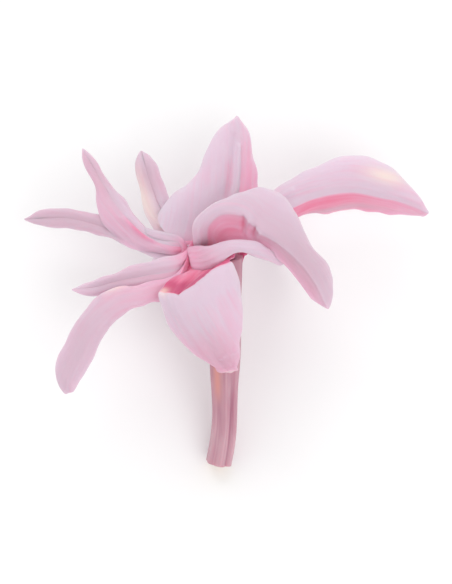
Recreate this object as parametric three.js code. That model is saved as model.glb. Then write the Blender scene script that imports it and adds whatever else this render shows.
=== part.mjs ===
// A single preserved flower of a double tuberose, picked with a short length of its tube and laid down on its back.
//
// Twelve petals stand in two whorls round the mouth of a slender floral tube, and the pistil stands in the throat.
// The six outer petals spring from the rim of the tube. The six inner ones, which are stamens grown into petals,
// spring from just inside the mouth. Each petal is its own closed sheet with a thin margin.
//
// Lengths are in millimetres. Everything is first described in the flower's own frame: x to the flower's right,
// y along its height, z to its front, with the origin in the middle of the mouth. One group at the end lays the
// flower down on the cut end of its tube and the tips of its two lowest petals, +Z up, with the origin at the
// middle of the underside of its box.

import * as THREE from 'three';
import { mergeVertices } from 'three/addons/utils/BufferGeometryUtils.js';

// ---------------------------------------------------------------------------------------- driving dimensions

const PETAL_THICKNESS = 0.45;       // at the midrib
const MARGIN_THICKNESS = 0.2;       // at the margins
const SMALLEST_HALF_WIDTH = 0.25;   // where a petal is at its narrowest
const TIP_START = 0.88;             // share of a petal's length at which its tip starts to round off
const TIP_BLUNTNESS = 0.3;          // width left at the very tip, as a share

// Each whorl's petals leave the tube over two points, given as distance from the axis and height over the mouth.
const RIM = [{ out: 3.3, up: 0.55 }, { out: 4.1, up: 0.8 }];       // the outer whorl, from the rim of the tube
const MOUTH = [{ out: 2.3, up: -0.5 }, { out: 2.75, up: 1.25 }];  // the inner whorl, from inside the mouth

const TUBE_WALL = 0.55;
const THROAT_DEPTH = 12;            // how far the hollow of the tube goes down
const THROAT_END_RADIUS = 0.9;
const CUT_END_DIMPLE = 0.35;        // the pith is sunk a little in the cut end

const STYLE_RADIUS = 0.3;
const STIGMA_RADIUS = 0.62;
const STIGMA_LOBES = 3;
const PISTIL_TOP = -1.2;            // height of the stigma against the mouth
const SEAT_GAP = 0.3;               // left between pieces that touch

const LYING_TILT = 15;              // degrees between the flower's height and the surface that it lies on

// Segments of the meshes.
const ACROSS_PETAL = 8;
const ALONG_PETAL = 16;
const CURL_STEPS = 6;               // steps of the curl's sum in each segment across
const ROUND_TUBE = 18;
const ALONG_TUBE = 15;
const ALONG_THROAT = 7;
const ROUND_PISTIL = 12;

// ------------------------------------------------------------------------------------------ the flower's axis

const AXIS = new THREE.Vector3(-0.11, 0.96, 0.26).normalize();  // out of the mouth of the tube
const FRONT = new THREE.Vector3(0, 0, 1).addScaledVector(AXIS, -AXIS.z).normalize();
const RIGHT = new THREE.Vector3().crossVectors(AXIS, FRONT);

// The direction straight out from the axis at an azimuth in degrees: 0 is the front, 90 the right.
function outward(azimuth) {
  const turn = THREE.MathUtils.degToRad(azimuth);
  return new THREE.Vector3().addScaledVector(FRONT, Math.cos(turn)).addScaledVector(RIGHT, Math.sin(turn));
}

// ------------------------------------------------------------------------------------------------ the petals
//
// root, azimuth: how and where round the mouth the petal leaves the tube.
// midrib: points from there to the tip.
// left, right: half widths on each side of the midrib, from the root to the tip, seen with the face to the eye
//   and the tip away from it.
// face: which way the upper face looks, from beyond the root to the tip.
// curlLeft, curlRight: degrees that each margin turns towards the face (+) or away from it (-).
// creaseLeft, creaseRight: [place, spread] of that turn, as shares of the half width; even curls leave them out.

const EVEN = [0.5, 0.5];

const PETALS = [
  {
    name: 'petal_front_apron', root: RIM, azimuth: 344, colour: 0xe4c4d8,
    midrib: [[-1.8, -1.3, 5.7], [-2.1, -2.9, 6.9], [-1.5, -5.3, 7.4], [-0.6, -8.4, 6.9], [0.5, -11.6, 5.6], [1.1, -14.3, 4.8]],
    left: [1, 1.3, 2.6, 4.7, 5.3, 5.1, 3.7, 1.9], right: [1, 1.3, 2.8, 4.9, 4.7, 3.9, 2.6, 1.6],
    face: [[-0.36, 0.8, 0.45], [-0.3, 0.5, 0.8], [-0.1, 0.25, 0.95], [0, 0.1, 1], [0, 0, 1], [0, 0, 1]],
    curlLeft: [0, 10, -20, -20], curlRight: [0, 10, -20, -20],
  },
  {
    name: 'petal_left_drooping', root: RIM, azimuth: 306, colour: 0xe3b8cc,
    midrib: [[-6.2, -3.5, 4], [-10.7, -5.4, 5.4], [-14.5, -7.9, 6.4], [-17.3, -11.6, 6.2], [-19, -17, 5.2]],
    left: [0.9, 1, 1.2, 1.7, 2.2, 2.4, 1.9], right: [0.9, 1, 1.3, 1.9, 2.7, 2.7, 1.9],
    face: [[-0.1, 0.9, 0.35], [-0.35, 0.6, 0.7], [-0.45, 0.35, 0.8]],
    curlLeft: [0, -20, -40], curlRight: [0, -10, -20],
  },
  {
    name: 'petal_left_level', root: RIM, azimuth: 258, colour: 0xd9c9d0,
    midrib: [[-7.4, 1.5, -2.2], [-11.3, 3.3, -4.3], [-15.7, 4.9, -6], [-20.1, 5.5, -7], [-24.8, 5.2, -8]],
    left: [0.9, 1, 1.8, 2.2, 2.2, 1.9, 0.6], right: [0.9, 1.1, 1.6, 2.1, 2.2, 1.9, 0.6],
    face: [[0, 0.85, 0.55], [0, 0.8, 0.65]],
    curlLeft: [0, -20, -20], curlRight: [0, -20, -20],
  },
  {
    name: 'petal_under_left', root: RIM, azimuth: 215, colour: 0xd8ccd0,
    midrib: [[-4.4, 1.6, -7], [-6.1, 1.5, -11.5], [-7.4, 0.6, -15.6]],
    left: [1, 1.2, 2.2, 2.6, 0.9], right: [1, 1.2, 2.2, 2.6, 0.9],
    face: [[-0.3, 1, 0.1], [-0.3, 1, 0]],
    curlLeft: [0, -20, -20], curlRight: [0, -20, -20],
  },
  {
    name: 'petal_under_right', root: RIM, azimuth: 150, colour: 0xd8ccd0,
    midrib: [[4, 2, -7], [6.1, 2.6, -11.5], [7.4, 2.2, -16]],
    left: [1, 1.2, 2.2, 2.6, 0.9], right: [1, 1.2, 2.2, 2.6, 0.9],
    face: [[0.3, 1, 0.1], [0.3, 1, 0]],
    curlLeft: [0, -20, -20], curlRight: [0, -20, -20],
  },
  {
    name: 'petal_right_arching', root: RIM, azimuth: 96, colour: 0xe2c9d6,
    midrib: [[7.4, 4.4, -2.6], [11.3, 7.9, -5.2], [16.7, 9.6, -7], [22, 9, -7.5], [27.4, 5.8, -8]],
    left: [0.7, 0.9, 2.3, 3.6, 4.5, 4, 0.6], right: [0.6, 0.7, 2.1, 3, 3.9, 3.5, 0.6],
    face: [[-0.4, 0.85, 0.35], [-0.1, 0.5, 0.85], [0, 0.5, 0.85], [0.1, 0.5, 0.85]],
    curlLeft: [0, -20, -20, -10], curlRight: [0, 0, -60, -70, -30], creaseRight: [0.45, 0.2],
  },
  {
    name: 'petal_left_low', root: MOUTH, azimuth: 283, colour: 0xe0b2c8,
    midrib: [[-6.3, 0.1, 2], [-11, -2.2, 3], [-14.7, -3.6, 3.1], [-18, -4.2, 2.8]],
    left: [0.6, 0.6, 1.1, 1.9, 1.5, 0.8], right: [0.6, 0.7, 1.2, 1.9, 1.5, 0.8],
    face: [[0, 1, 0.35], [0, 0.8, 0.6], [0, 0.8, 0.6]],
    curlLeft: [0, -20, -20], curlRight: [0, -20, -20],
  },
  {
    name: 'petal_left_raised', root: MOUTH, azimuth: 240, colour: 0xd9b7c6,
    midrib: [[-6.2, 3.2, -2.6], [-10.4, 5.5, -5.3], [-14, 9, -7], [-17.3, 14.6, -8]],
    left: [0.7, 0.9, 2.1, 3.9, 2.5, 0.5], right: [0.6, 0.7, 1.5, 1.4, 1.2, 0.5],
    face: [[0.3, 0.8, 0.4], [0.4, 0.4, 0.8], [0.45, 0.5, 0.75]],
    curlLeft: [0, -20, -20], curlRight: [0, -20, -20],
  },
  {
    name: 'petal_back_left', root: MOUTH, azimuth: 206, colour: 0xd9cfcf,
    midrib: [[-4.3, 5, -6], [-7.2, 9.2, -8.4], [-10.1, 14.3, -11]],
    left: [0.5, 0.5, 1.5, 2, 0.8], right: [0.6, 0.5, 1.4, 2, 0.8],
    face: [[0.4, 0.2, 0.9], [0.4, 0.2, 0.9]],
    curlLeft: [0, 20, 20], curlRight: [0, 20, 20],
  },
  {
    name: 'petal_top', root: MOUTH, azimuth: 165, colour: 0xe8cfdf,
    midrib: [[-0.2, 5, -4], [0.4, 8.5, -5.8], [1.2, 12, -6.8], [2, 15, -7.4], [2.9, 18.5, -8]],
    left: [0.6, 0.6, 2.8, 5.4, 3.3, 2.7, 0.7], right: [0.8, 1.1, 4, 5.4, 4.4, 3.1, 0.7],
    face: [[0, 0, 1], [0, 0, 1]],
    curlLeft: [0, 20, 20], curlRight: [0, -20, -30], creaseRight: [0.4, 0.15],
  },
  {
    name: 'petal_right_hooded', root: MOUTH, azimuth: 110, colour: 0xe2c2d4,
    midrib: [[0.9, 3.2, 0.6], [2, 4.7, 2.2], [4.4, 5.3, 3.6], [7.2, 4.2, 4.5], [9.8, 1.6, 4.8], [12, -1.8, 4.4],
      [14.2, -6, 3.6]],
    left: [0.8, 1.2, 3.3, 4.2, 5.2, 5.1, 3.6, 2.7, 1.9], right: [0.8, 1.1, 1.9, 2.4, 2.9, 3, 2.8, 2.2, 1.4],
    face: [[0.1, -0.1, 1], [0.2, 0.1, 1], [0.15, 0.3, 0.95], [0.25, 0.35, 0.9], [0.3, 0.35, 0.9], [0.35, 0.25, 0.9],
      [0.35, 0.2, 0.9]],
    curlLeft: [0, -30, -40, -45, -40, -35, -30, -25, -20], creaseLeft: [0.45, 0.2],
    curlRight: [0, 10, 10, 10, -30, -50, -45, -30, -20],
  },
  {
    name: 'petal_front_arc', root: MOUTH, azimuth: 335, colour: 0xdcbccb,
    midrib: [[-0.3, 1.2, 4.6], [1.9, 1.6, 5.5], [4.7, 1, 5.4], [6.9, 0.2, 4.2], [8.2, -0.8, 2.8]],
    left: [0.8, 0.9, 1.4, 1.8, 1.9, 1.6, 0.6], right: [0.8, 0.9, 1.4, 1.8, 1.9, 1.6, 0.6],
    face: [[-0.3, 0.8, 0.4], [-0.1, 0.8, 0.6], [0.1, 0.9, 0.4], [0.2, 0.9, 0.4]],
    curlLeft: [0, -20, -20, -20], curlRight: [0, -50, -50, -30],
  },
];

// ------------------------------------------------------------------------------------- tube, throat and pistil

// Middle line of the tube, from the mouth to the cut end, and its outer radius at the same points.
const TUBE_LINE = [[0, 0, 0], [0.4, -3.4, -0.9], [0.9, -7.8, -2], [1.2, -11.6, -3], [1.25, -15.1, -3.9], [1.2, -20, -5.2],
  [0.95, -23.2, -6], [0.45, -26.2, -6.8]];
const TUBE_RADIUS = [3.6, 3.05, 2.5, 2.15, 1.85, 1.6, 1.6, 1.65];
const TUBE_COLOUR = 0xc897a7;
const PISTIL_COLOUR = 0xe9dcb4;

// ------------------------------------------------------------------------------------------------- small tools

function curve(points) {
  return new THREE.CatmullRomCurve3(points.map((p) => (p.isVector3 ? p : new THREE.Vector3(...p))), false, 'catmullrom');
}

function profile(values) {
  const line = curve(values.map((value) => [value, 0, 0]));
  return (share) => line.getPoint(share).x;
}

// A mesh of one closed body: coincident corners become one, so that neighbouring faces share them.
function closedMesh(name, geometry, colour, roughness) {
  geometry.deleteAttribute('normal');
  geometry.deleteAttribute('uv');
  const merged = mergeVertices(geometry);
  merged.computeVertexNormals();
  const mesh = new THREE.Mesh(merged, new THREE.MeshStandardMaterial({ color: colour, roughness, metalness: 0 }));
  mesh.name = name;
  return mesh;
}

// ---------------------------------------------------------------------------------------------------- one petal

// How wide a petal is at a share of its length, where the tip rounds off.
function tipShare(share) {
  const into = THREE.MathUtils.clamp((share - TIP_START) / (1 - TIP_START), 0, 1);
  return Math.sqrt(1 - (1 - TIP_BLUNTNESS * TIP_BLUNTNESS) * into * into);
}

function petalShape({ root, azimuth, midrib, left, right, face, curlLeft, curlRight, creaseLeft = EVEN, creaseRight = EVEN }) {
  const out = outward(azimuth);
  const start = root.map((point) => out.clone().multiplyScalar(point.out).addScaledVector(AXIS, point.up));
  const startFace = AXIS.clone().sub(out);
  return {
    midrib: curve([...start, ...midrib]),
    face: curve([startFace, startFace, ...face]),
    sides: [
      { sign: 1, width: profile(left), curl: profile(curlLeft), crease: creaseLeft },
      { sign: -1, width: profile(right), curl: profile(curlRight), crease: creaseRight },
    ],
  };
}

// A point of the petal: share along it, across it from -1 (right margin) to 1 (left margin), and side, 1 for the
// upper face and -1 for the lower one.
function petalPoint(shape, share, across, side) {
  const tangent = shape.midrib.getTangent(share);
  const normal = shape.face.getPoint(share);
  normal.addScaledVector(tangent, -normal.dot(tangent)).normalize();
  const sideways = new THREE.Vector3().crossVectors(normal, tangent);
  const { sign, width, curl, crease } = across >= 0 ? shape.sides[0] : shape.sides[1];
  const halfWidth = Math.max(width(share), SMALLEST_HALF_WIDTH) * tipShare(share);
  const fullCurl = THREE.MathUtils.degToRad(curl(share));
  const [place, spread] = crease;
  const curlAt = (reach) => fullCurl * THREE.MathUtils.smoothstep(reach, place - spread, place + spread);
  const reach = Math.abs(across);
  const steps = Math.round(reach * ACROSS_PETAL / 2) * CURL_STEPS;
  const point = shape.midrib.getPoint(share);
  for (let step = 0; step < steps; step += 1) {
    const angle = curlAt(reach * (step + 0.5) / steps);
    const length = halfWidth * reach / steps;
    point.addScaledVector(sideways, sign * Math.cos(angle) * length).addScaledVector(normal, Math.sin(angle) * length);
  }
  const turned = curlAt(reach);
  const thickness = THREE.MathUtils.lerp(PETAL_THICKNESS, MARGIN_THICKNESS, reach * reach);
  point.addScaledVector(normal, Math.cos(turned) * side * thickness / 2);
  point.addScaledVector(sideways, -sign * Math.sin(turned) * side * thickness / 2);
  return point;
}

// A box of many segments is bent into the petal: its width runs across, its height along and its depth through.
function petal(spec) {
  const shape = petalShape(spec);
  const geometry = new THREE.BoxGeometry(2, 1, 2, ACROSS_PETAL, ALONG_PETAL, 1);
  const corners = geometry.getAttribute('position');
  for (let i = 0; i < corners.count; i += 1) {
    const point = petalPoint(shape, corners.getY(i) + 0.5, corners.getX(i), -corners.getZ(i));
    corners.setXYZ(i, point.x, point.y, point.z);
  }
  return closedMesh(spec.name, geometry, spec.colour, 0.45);
}

// ------------------------------------------------------------------------------------------- tube and pistil

// Bends a solid of revolution about y, whose y is the height along the tube, to the tube's middle line.
function bendToTube(geometry) {
  const line = curve(TUBE_LINE);
  const length = line.getLength();
  const corners = geometry.getAttribute('position');
  for (let i = 0; i < corners.count; i += 1) {
    const height = corners.getY(i);
    const share = THREE.MathUtils.clamp(-height / length, 0, 1);
    const along = line.getTangentAt(share).negate();
    const right = new THREE.Vector3().crossVectors(along, FRONT).normalize();
    const front = new THREE.Vector3().crossVectors(right, along);
    const point = line.getPointAt(share).addScaledVector(along, height + share * length);
    point.addScaledVector(right, corners.getX(i)).addScaledVector(front, corners.getZ(i));
    corners.setXYZ(i, point.x, point.y, point.z);
  }
  return geometry;
}

function flowerTube() {
  const length = curve(TUBE_LINE).getLength();
  const radius = profile(TUBE_RADIUS);
  const outline = [new THREE.Vector2(0, CUT_END_DIMPLE - length)];
  for (let i = ALONG_TUBE; i >= 0; i -= 1) {
    const share = i / ALONG_TUBE;
    outline.push(new THREE.Vector2(radius(share), -share * length));
  }
  const mouth = radius(0) - TUBE_WALL;
  for (let i = 0; i <= ALONG_THROAT; i += 1) {
    const share = i / ALONG_THROAT;
    outline.push(new THREE.Vector2(THREE.MathUtils.lerp(mouth, THROAT_END_RADIUS, Math.sqrt(share)), -share * THROAT_DEPTH));
  }
  outline.push(new THREE.Vector2(0, -THROAT_DEPTH));
  return closedMesh('flower_tube', bendToTube(new THREE.LatheGeometry(outline, ROUND_TUBE)), TUBE_COLOUR, 0.5);
}

// The pistil: a thin style that widens into a stigma with three lobes.
function pistil() {
  const foot = SEAT_GAP - THROAT_DEPTH;
  const outline = [
    new THREE.Vector2(0, foot),
    new THREE.Vector2(STYLE_RADIUS, foot),
    new THREE.Vector2(STYLE_RADIUS, (foot + PISTIL_TOP) / 2),
    new THREE.Vector2(STYLE_RADIUS, PISTIL_TOP - 2.2 * STIGMA_RADIUS),
    new THREE.Vector2(STIGMA_RADIUS, PISTIL_TOP - 0.6 * STIGMA_RADIUS),
    new THREE.Vector2(0.7 * STIGMA_RADIUS, PISTIL_TOP),
    new THREE.Vector2(0, PISTIL_TOP - 0.2 * STIGMA_RADIUS),
  ];
  const geometry = new THREE.LatheGeometry(outline, ROUND_PISTIL);
  const corners = geometry.getAttribute('position');
  const lobesFrom = PISTIL_TOP - 1.2 * STIGMA_RADIUS;
  for (let i = 0; i < corners.count; i += 1) {
    const turn = Math.atan2(corners.getX(i), corners.getZ(i));
    const lobe = corners.getY(i) > lobesFrom ? 0.82 + 0.18 * Math.cos(STIGMA_LOBES * turn) : 1;
    corners.setX(i, corners.getX(i) * lobe);
    corners.setZ(i, corners.getZ(i) * lobe);
  }
  return closedMesh('pistil', bendToTube(geometry), PISTIL_COLOUR, 0.6);
}

// ------------------------------------------------------------------------------------------------- the flower

const flower = new THREE.Group();
flower.add(...PETALS.map(petal), flowerTube(), pistil());
flower.rotation.x = THREE.MathUtils.degToRad(LYING_TILT);

// The origin goes to the middle of the underside of the laid flower's box.
const laid = new THREE.Group();
laid.add(flower);
laid.updateMatrixWorld(true);
const box = new THREE.Box3().setFromObject(laid, true);
flower.position.set(-(box.min.x + box.max.x) / 2, -(box.min.y + box.max.y) / 2, -box.min.z);

export default laid;
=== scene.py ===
"""A single preserved flower of a double tuberose, with a short length of its tube, laid down on its back.

Twelve petals, the floral tube that they spring from and the pistil in its throat are modelled as fine
closed meshes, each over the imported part's own node, and lit softly on a plain pale floor.

Shapes are given in millimetres in the flower's own frame: x to its right, y along its height, z to its
front, with the origin in the middle of the mouth. row_frame() lays them down, in metres.
"""

import math
from dataclasses import dataclass, field

import bmesh
import bpy
import numpy as np
from bpy.props import FloatProperty, FloatVectorProperty, IntProperty, PointerProperty
from mathutils import Matrix, Vector, noise


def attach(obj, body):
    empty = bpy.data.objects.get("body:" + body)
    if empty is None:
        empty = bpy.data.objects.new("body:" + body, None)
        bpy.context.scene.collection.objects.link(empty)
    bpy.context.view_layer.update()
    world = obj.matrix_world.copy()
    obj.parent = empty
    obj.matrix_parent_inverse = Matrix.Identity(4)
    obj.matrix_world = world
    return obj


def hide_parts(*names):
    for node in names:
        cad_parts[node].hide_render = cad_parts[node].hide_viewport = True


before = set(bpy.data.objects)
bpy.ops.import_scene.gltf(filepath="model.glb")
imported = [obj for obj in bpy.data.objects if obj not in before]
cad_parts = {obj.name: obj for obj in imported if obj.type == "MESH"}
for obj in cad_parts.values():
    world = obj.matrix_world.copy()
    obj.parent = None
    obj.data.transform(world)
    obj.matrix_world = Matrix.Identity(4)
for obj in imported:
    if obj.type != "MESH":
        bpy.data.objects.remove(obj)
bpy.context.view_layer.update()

bl_info = {
    "name": "Preserved tuberose flower",
    "version": (1, 0, 0),
    "blender": (4, 5, 0),
    "location": "3D View > Sidebar > Tuberose",
    "description": "Builds a preserved double tuberose flower and the stage that it lies on",
    "category": "Object",
}

# ----------------------------------------------- the frame

MM = 0.001
BODY = "root"
MOUTH_PLACE = Vector((-1.331, 2.196, 14.994)) * MM  # the middle of the tube's mouth, in the row frame
LYING_TILT = math.radians(15)  # between the flower's height and the surface
LAID = Matrix.Translation(MOUTH_PLACE) @ Matrix.Rotation(LYING_TILT, 4, "X") @ Matrix.Scale(MM, 4)


def unit(vector):
    """The same direction with a length of 1."""
    return vector / np.linalg.norm(vector, axis=-1, keepdims=True)


AXIS = unit(np.array((-0.11, 0.96, 0.26)))  # out of the mouth of the tube
FRONT = unit(np.array((0, 0, 1)) - AXIS * AXIS[2])
RIGHT = np.cross(AXIS, FRONT)


def outward(azimuth):
    """Straight out from the flower's axis at an azimuth in degrees: 0 is the front, 90 the right."""
    turn = math.radians(azimuth)
    return FRONT * math.cos(turn) + RIGHT * math.sin(turn)


def row_frame(points):
    """Points of the flower's own frame, in millimetres, laid down in the row frame, in metres."""
    matrix = np.array(LAID)
    return points @ matrix[:3, :3].T + matrix[:3, 3]


# ---------------------------------------------- the petals

# A place on a petal is a (share along, share across). Along, 0 is where the petal leaves the mouth and 1 its
# tip; across, -1 is the right margin, 0 the midrib and 1 the left margin.

@dataclass
class Fold:
    """A ridge (+) or a groove (-) on a petal, from the start place to the end place."""
    start: tuple
    end: tuple
    height: float  # mm
    spread: float  # mm


@dataclass
class Patch:
    """A soft spot of colour at a place, with its reach along and across in mm."""
    place: tuple
    reach: tuple
    amount: float


SLIGHT_ARCH = (0, 0.2, 0.3, 0.2)  # mm
UNTINTED = (0, 0)
DEGREES_TO_A_SEED = 36


@dataclass
class Petal:
    """Everything that makes one petal differ from the others.

    node: the part's node that it stands for.
    azimuth: where it springs from round the mouth, in degrees from the front, towards the right.
    midrib: points along its middle, past its claw, to its tip, in mm.
    left, right: points of its two margins, one beside each point of the midrib.
    bulge_left, bulge_right: how far each half arches towards the petal's face, in mm.
    tint: how much of the throat's colour it holds, in places painted shade, as behind the front petal's
    ridge.
    tint_left, tint_right: how much more of it each half holds, past the crease at the midrib; on halves that
    turn down or away from the light it is painted shade.
    throat: how much of the throat's colour spreads onto it near the mouth, partly the dye's own and partly
    painted shade of the throat's depths.
    folds: the ridges and grooves pressed into it.
    The three lists of spots: deeper pink, most of it painted shade in creases, grooves and hollows; grey-pink
    painted shade; and cream, some of it faded tissue and some painted highlights on rolled edges.

    Bulges and tints are lists of values spread evenly along the petal, from the mouth to the tip.
    """
    node: str
    azimuth: float
    midrib: list
    left: list
    right: list
    bulge_left: tuple = SLIGHT_ARCH
    bulge_right: tuple = SLIGHT_ARCH
    tint: tuple = UNTINTED
    tint_left: tuple = UNTINTED
    tint_right: tuple = UNTINTED
    throat: float = 1.0
    folds: list = field(default_factory=list)
    # Spots of deeper pink, mostly painted shade; patches of painted grey-pink shade; cream spots, some faded
    # and some painted highlights.
    pink_and_shade: list = field(default_factory=list)
    painted_shade: list = field(default_factory=list)
    faded_and_highlit: list = field(default_factory=list)

    @property
    def name(self):
        return self.node.removeprefix("petal_") + "_petal"

    @property
    def seed(self):
        """A number of its own, so that no two petals wave alike."""
        return len(self.node) + self.azimuth / DEGREES_TO_A_SEED


# A claw is a petal's narrow foot, as (out, up) from the mouth's middle in mm. Its first points are grown into
# the tube's wall. Outer petals spring from the rim and inner ones from just inside it.
RIM_CLAW = [(2.8, -3.0), (3.05, -1.2), (3.4, 0.2), (4.0, 0.8)]
MOUTH_CLAW = [(2.35, -3.6), (2.4, -2.0), (2.4, -0.4), (2.75, 1.25)]
GROWN_POINTS = 2

OUTER_PETALS = [
    Petal(
        node="petal_front_apron", azimuth=344,
        midrib=[(-1.5, -1.2, 4.2), (-2.6, -2.7, 5.2), (-4.3, -4.7, 7.8), (-4.3, -5.1, 8.4),
                (-3.7, -6.7, 8.4), (-2.3, -9, 7.7), (-0.8, -11, 6.7), (0.6, -12.8, 5.8), (2, -14.3, 5.3)],
        left=[(2.4, -0.1, 3.3), (2.1, -0.1, 4.9), (1.8, -0.3, 6.2), (2.4, -0.9, 6.6), (3, -3.3, 6.4),
              (3.3, -7.1, 6), (3.2, -10, 5.4), (3.1, -12.4, 5), (2.8, -14, 5)],
        right=[(-3.6, -1.8, 2.9), (-5.4, -2.8, 5), (-6.6, -3.9, 6.9), (-7, -4.7, 7.4), (-6.6, -6.4, 7.2),
               (-5.7, -8.7, 6.7), (-3.7, -10.8, 6.1), (-1.5, -12.6, 5.5), (0.4, -13.8, 5.1)],
        bulge_left=[0, 0, 0, 0, 0.1, 0.5, 0.9, 0.9, 0.7, 0.4, 0.2],
        bulge_right=[0, 0, 0, 0, 0, 0.2, 0.3, 0.3, 0.3, 0.2, 0.1],
        # The deep colour behind the ridge is painted shade of the valley there.
        tint=[0.9, 0.8, 0.5, 0.7, 1.1, -0.5, 0, 0.05, 0.15, 0.25, 0.4], throat=0.4,
        folds=[Fold((0.975, -0.9), (0.975, 0.9), 0.4, 0.25), Fold((0.88, 0.1), (0.84, 0.8), 0.25, 0.25)],
        # Painted shade on the lower part of the apron, which curls under.
        painted_shade=[Patch((0.9, 0), (5, 3), 0.6)],
        pink_and_shade=[Patch((0.33, 0.85), (1.6, 0.5), -0.6), Patch((0.3, -0.5), (1.5, 0.5), -0.15)],
        # Painted highlights: on the rolled corner of the ridge and along the lip.
        faded_and_highlit=[Patch((0.4, -0.85), (0.7, 0.6), 0.55), Patch((0.99, 0.1), (0.3, 1.6), 0.3)],
    ),
    Petal(
        node="petal_left_drooping", azimuth=306,
        midrib=[(-5, -3.2, 4.8), (-8.7, -4.8, 5.4), (-12.1, -5.8, 6), (-15.1, -8.6, 6.6), (-17, -12.1, 6.6),
                (-18.3, -14.9, 6.2), (-18.5, -16.9, 5.6)],
        left=[(-5.3, -4.8, 4.6), (-8.1, -5.8, 4.9), (-11.2, -6.9, 5.2), (-13.9, -10.1, 5.8),
              (-15.7, -13.7, 6), (-17.1, -15.9, 5.8), (-18, -16.9, 5.4)],
        right=[(-4.8, -1.8, 4), (-9.1, -3.3, 4.4), (-13.3, -4.3, 4.8), (-16.5, -6.9, 5.4),
               (-18.4, -10.4, 5.8), (-19.6, -13.3, 5.6), (-19.3, -16.3, 5.2)],
        tint=[0.3, 0.3, 0.3, 0.25, 0.1, 0, 0, 0, 0],
        folds=[Fold((0.42, -0.75), (0.52, -0.8), 0.35, 0.3)],
        # Painted grey-pink shade over the blade, and a painted highlight along its upper margin.
        painted_shade=[Patch((0.7, 0), (9, 4), 0.5)],
        faded_and_highlit=[Patch((0.46, -0.8), (1.2, 0.4), 0.4)],
    ),
    Petal(
        node="petal_left_level", azimuth=258,
        midrib=[(-5.1, 1.3, -1.5), (-9.5, 2.6, -3.2), (-13.7, 3.9, -4.8), (-18.4, 5.1, -6.2),
                (-21.9, 5.2, -7.1), (-24.6, 5.1, -8)],
        left=[(-5.4, -1, -0.8), (-9.4, 0.8, -3), (-13.7, 2.6, -5), (-18.2, 3.7, -6.4), (-21.8, 4, -7.2),
              (-24.1, 4.6, -7.9)],
        right=[(-4.8, 2.8, -1.8), (-9.6, 4.1, -3.6), (-13.7, 5.6, -5.4), (-18.4, 6.4, -6.7),
               (-22, 6.3, -7.4), (-24.3, 5.4, -8)],
        # Painted grey-pink shade over the blade.
        painted_shade=[Patch((0.7, 0), (10, 3), 0.65)],
    ),
    Petal(
        node="petal_under_left", azimuth=215,
        midrib=[(-4.4, 1.6, -7), (-6.1, 1.5, -11.5), (-7.4, 0.6, -15.6)],
        left=[(-5.1, 0.9, -6.2), (-8.2, -0.4, -10.5), (-7.9, 0.1, -15.2)],
        right=[(-2.4, 2.3, -7.8), (-3.7, 2.3, -12.4), (-6.6, 0.9, -15.9)],
    ),
    Petal(
        node="petal_under_right", azimuth=150,
        midrib=[(4, 2, -7), (6.1, 2.6, -11.5), (7.4, 2.2, -16)],
        left=[(2, 2.7, -7.8), (3.7, 3.4, -12.4), (6.6, 2.5, -16.3)],
        right=[(6, 1.3, -6.2), (8.5, 1.8, -10.5), (8.2, 1.9, -15.6)],
    ),
    Petal(
        node="petal_right_arching", azimuth=96,
        midrib=[(5.9, 4.6, -1), (8.6, 6, -3.2), (10.7, 6.9, -4.2), (13.4, 7.9, -5.4), (17.6, 8.6, -6.4),
                (21.9, 7.8, -7), (25.2, 6.8, -7.4), (27.5, 5.9, -7.8)],
        left=[(5.2, 6.4, -1.8), (6.9, 8.2, -3.8), (8.9, 9.9, -5), (12.2, 11.5, -6), (17.4, 13.1, -6.9),
              (22, 12.1, -7.4), (25.2, 9, -7.7), (27.3, 6.7, -7.9)],
        right=[(6.4, 4.0, -1.5), (9.3, 4.6, -4.2), (11.1, 5.6, -6.6), (13.8, 5.9, -9.2), (17.9, 6.2, -11),
               (22, 5.9, -11), (25.4, 5.4, -10.2), (27.5, 5.5, -8.6)],
        bulge_left=[0, 0.2, 0.5, 0.8, 0.9, 0.8, 0.5, 0.2], bulge_right=[0, 0, 0.1, 0.2, 0.2, 0.1, 0],
        # The turned-down half's deeper pink and grey-pink are painted shade; its cream spot is a faded one of
        # its own.
        tint_right=[0.3, 0.3, 0.4, 0.52, 0.6, 0.6, 0.54, 0.45, 0.3, 0.2],
        painted_shade=[Patch((0.6, -0.7), (9, 1.0), 0.75)],
        folds=[Fold((0.24, 0.3), (0.42, 0.5), 0.35, 0.3)],
        faded_and_highlit=[Patch((0.76, 0.6), (2.6, 0.9), 0.55)],
    ),
]

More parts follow.
